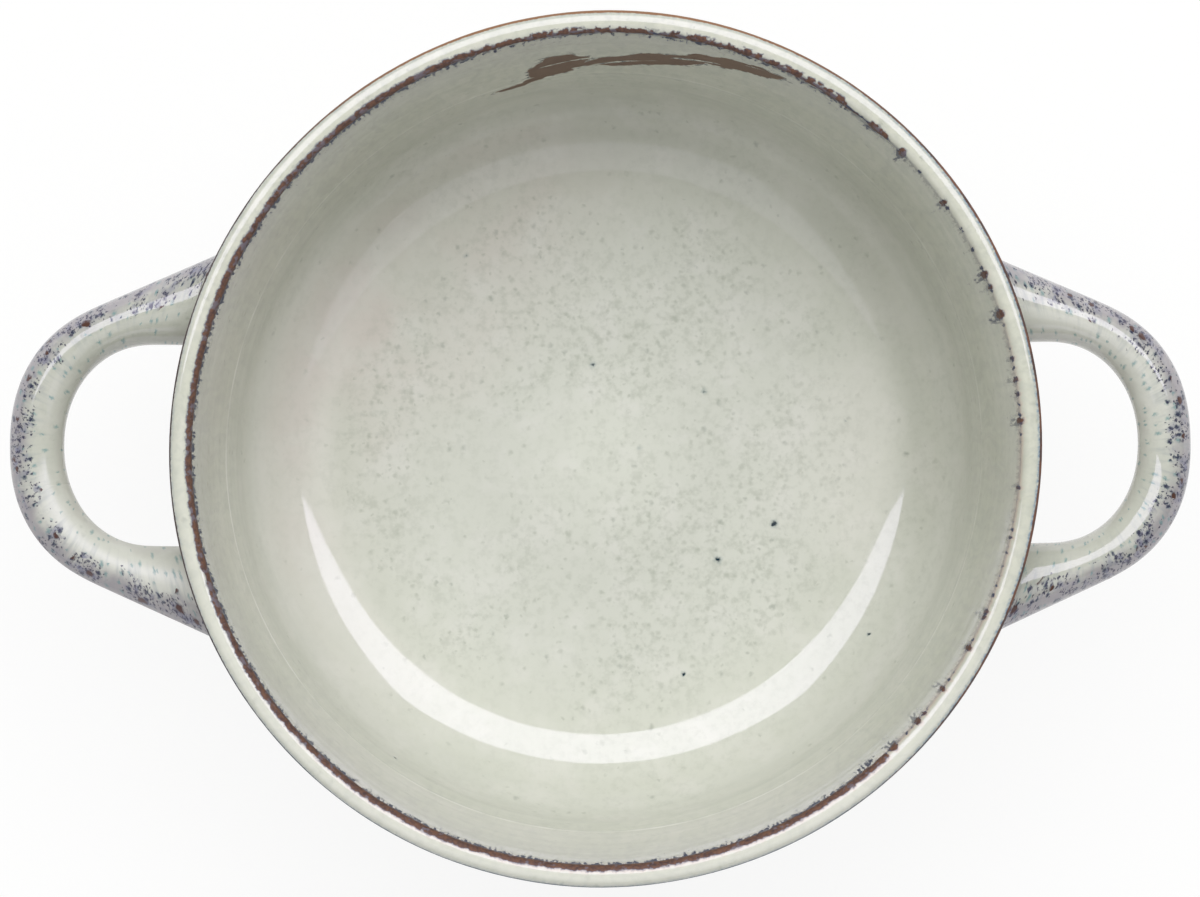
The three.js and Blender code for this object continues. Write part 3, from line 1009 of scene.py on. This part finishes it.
def paintLightAndTints(add, run, outward, colour, shades, at):
    for turn, sector, begins, ends, strength, left, tint, blend in shades:
        start = add("MapRange", [run, *[at[mark] + past for mark, past in begins], 0, strength], **smooth)
        stop = add("MapRange", [run, *[at[mark] + past for mark, past in ends], 1, left], **smooth)
        shade = overlap(add, facing(add, outward, math.radians(turn), *sector), start, stop)
        colour = add("MixRGB", [shade, colour, tint], blend_type=blend)
    return colour


def bowlGlaze(g, at):
    # pale, glossy and flecked, with brown edges, and painted shade and painted light on some sides of the
    # bowl
    material, add, place, outward = startGlaze("reactiveGlaze")
    run = add("Attribute", attribute_name="run").outputs["Fac"]
    colour = glazeGround(add, place, g, g["warmth"])
    zones = add("ValToRGB", [add("Math", [run, at["end"]], "DIVIDE")])
    ramp = zones.color_ramp.elements
    for i, (mark, past, tint) in enumerate(bowlZones):
        stop = (at[mark] + past) / at["end"]
        element = ramp[i] if i < 2 else ramp.new(stop)
        element.position = stop
        element.color = hexColour(tint)
    colour = add("MixRGB", [1.0, colour, zones], blend_type="MULTIPLY")
    colour = paintWalls(add, place, run, outward, colour, wallMarks, at)
    colour = paintLightAndTints(add, run, outward, colour, paintedLightAndGlazeTints, at)
    base = lineBase(add, place, outward, breakLine)
    colour, innerLine = paintInnerLine(add, place, run, colour, breakLine, base, at)
    colour, outerLine = paintOuterLine(add, run, colour, breakLine, base, at)
    colour, bare = paintStroke(add, place, run, colour, bareStroke, at)
    colour, clay, gritHeight = paintFoot(add, place, run, colour, foot, at)

    dry = 0.0
    for mask, look in ((innerLine, breakLine), (outerLine, breakLine), (bare, bareStroke), (clay, foot)):
        dry = add("Math", [dry, overlap(add, mask, look["dryness"])], "MAXIMUM")
    height = add("Math", [bare, -bareStroke["depth"], gritHeight], "MULTIPLY_ADD")
    glazeSurface(add, place, g, colour, dry, height)
    return material


# Glaze on the handles and their slip joints
barSpecks = {
    "tint": "#e9e9e6",  # the glaze lies thinner on the bar
    "warmth": 0.15,
    "lilac": "#a29da0",  # lilac-grey painted shade on the outer side of the bar
    "beige": "#bdbcb2",
    "sway": (4 * mm, 0.3),
    "streak": "#929b9d",
    "streakWidth": 0.8 * mm,
    "streakDrawn": 0.15,  # how streaks are drawn out round the bar
    "stretch": 0.6,  # and specks
    "smudge": (0.5 * mm, 0.9 * mm),
    "teal": "#5b8a8c",
    "tealSpecks": (1.3 * mm, 0.5 * mm),  # spacing and radius
    "tealStrength": 0.7,
    "gatherSize": 5 * mm,
    "stain": "#787a90",  # ink spread in the glaze round the specks
    "stainSize": 1.3 * mm,
    "ink": "#34354a",
    "inkSpecks": ((0.5 * mm, 0.2 * mm), (0.8 * mm, 0.32 * mm), (1.3 * mm, 0.5 * mm)),
    "brown": "#513528",
    "blotSpacing": 3.6 * mm,
    "blotRadius": 0.8 * mm,
    "haloRadius": 1.2 * mm,
    "blotShare": 0.75,
    "blotDryness": 0.25,
    "barRadius": 4.7 * mm,
    "leftShift": 0.4,  # metres along the pattern, so that the two handles differ
    "satin": (math.radians(197), 0.94, 0.995),  # the arm where the gloss is duller
    "satinDryness": 0.42,
    "sheenArms": ((math.radians(197), 0.95, 0.995), (math.radians(14), 0.95, 0.995)),  # arms with a painted sheen, paler
    "pale": "#f1f0ea",
    "sheenStrength": 0.26,
}


def barPlace(add, place, s):  # the bar unrolled, and how far a place is to its outer side and its top
    names = ("along", "outer", "top")
    along, outer, top = [add("Attribute", attribute_name=name).outputs["Fac"] for name in names]
    across = add("SeparateXYZ", [place]).outputs["X"]
    shift = add("MapRange", [across, -10 * mm, 10 * mm, s["leftShift"], 0])
    lengthwise = add("Math", [along, shift], "ADD")
    angle = add("Math", [top, outer], "ARCTAN2")
    roundBar = add("Math", [angle, s["barRadius"]], "MULTIPLY")
    return add("CombineXYZ", [lengthwise, roundBar]), outer, top


def paintBar(add, unrolled, side, colour, s):
    # painted shade: lilac-grey on the outer side of the bar
    thin = add("MapRange", [side, 0.05, 0.75, 0, 0.9], **smooth)
    hole = add("MapRange", [side, -1.0, -0.6, 0.6, 0], **smooth)
    long = add("VectorMath", [unrolled, (1, s["streakDrawn"], 1)], "MULTIPLY")
    streaks = patches(add, long, s["streakWidth"], (0.45, 0.72), (0, 0.35))
    upper = add("MapRange", [side, -0.8, 0.1, 0, 1], **smooth)
    streaks = overlap(add, streaks, upper)
    return laid(add, colour, (thin, s["lilac"]), (hole, s["beige"]), (streaks, s["streak"]))


def paintSpecks(add, unrolled, side, top, colour, s):
    smudged = pulled(add, unrolled, *s["smudge"], unrolled)
    drawn = add("VectorMath", [smudged, (1, s["stretch"], 1)], "MULTIPLY")
    rise = add("MapRange", [side, -0.15, 0.35, 0, 1], **smooth)
    fall = add("MapRange", [side, 0.75, 1.0, 1, 0.4], **smooth)
    seen = add("MapRange", [top, -0.6, 0.1, 0.2, 1], **smooth)
    thick = overlap(add, rise, fall, seen)
    few = add("MapRange", [thick, 0, 1, 0.35, 0.6])
    teal = overlap(add, specks(add, drawn, *s["tealSpecks"], few, 1.0, "2D"), s["tealStrength"])

    gather = add("TexNoise", {"Vector": unrolled, "Scale": 1 / s["gatherSize"], "Detail": 2.0})
    gather = add("MapRange", [gather, 0.42, 0.6, 0.05, 1.1])
    many = overlap(add, thick, gather)
    stain = patches(add, drawn, s["stainSize"], (0.46, 0.64), (0, 0.8), 3.0)
    stain = add("Math", [stain, many], "MULTIPLY", use_clamp=True)
    coats = [(teal, s["teal"]), (stain, s["stain"])]
    coats.extend((specks(add, drawn, *size, many, 0.9, "2D"), s["ink"]) for size in s["inkSpecks"])
    rare = overlap(add, many, s["blotShare"])
    halo = specks(add, smudged, s["blotSpacing"], s["haloRadius"], rare, 1.0, "2D")
    blot = specks(add, smudged, s["blotSpacing"], s["blotRadius"], rare, 0.5, "2D")
    return laid(add, colour, *coats, (halo, s["ink"]), (blot, s["brown"])), blot


def barGlaze(g, s):
    # the same glaze run thin, greyer, with ink-blue and brown specks, painted shade on the outer side and a
    # painted sheen on two arms
    material, add, place, outward = startGlaze("reactiveGlazeOnBar")
    unrolled, outer, top = barPlace(add, place, s)
    side = add("Math", [outer, waves(add, place, *s["sway"], 3.0)], "ADD")

    colour = glazeGround(add, place, g, s["warmth"])
    colour = add("MixRGB", [1.0, colour, s["tint"]], blend_type="MULTIPLY")
    # painted sheen: paler colour on the right upper arm and the left lower arm
    for arm in s["sheenArms"]:
        pale = overlap(add, facing(add, outward, *arm), s["sheenStrength"])
        colour = laid(add, colour, (pale, s["pale"]))
    colour = paintBar(add, unrolled, side, colour, s)
    colour, blot = paintSpecks(add, unrolled, side, top, colour, s)

    blotDry = overlap(add, blot, s["blotDryness"])
    satin = overlap(add, facing(add, outward, *s["satin"]), s["satinDryness"])
    dry = add("Math", [blotDry, satin], "MAXIMUM")
    glazeSurface(add, place, g, colour, dry, 0.0)
    return material


bowlPiece.data.materials.append(bowlGlaze(glaze, bowlMarks))
onBar = barGlaze(glaze, barSpecks)
standsFor = (
    (bowlPiece, "bowl_body", "glazed_stoneware"),
    (handles["handleRight"], "handle_right", "glazed_stoneware"),
    (handles["handleLeft"], "handle_left", "glazed_stoneware"),
    (handles["slipRightBack"], "slip_right_back", "glazed_slip"),
    (handles["slipRightFront"], "slip_right_front", "glazed_slip"),
    (handles["slipLeftFront"], "slip_left_front", "glazed_slip"),
    (handles["slipLeftBack"], "slip_left_back", "glazed_slip"),
)
for piece, node, slotName in standsFor:
    if piece is not bowlPiece:
        piece.data.materials.append(onBar)
    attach(piece, "root")
    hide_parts(node)
print("glaze ready")
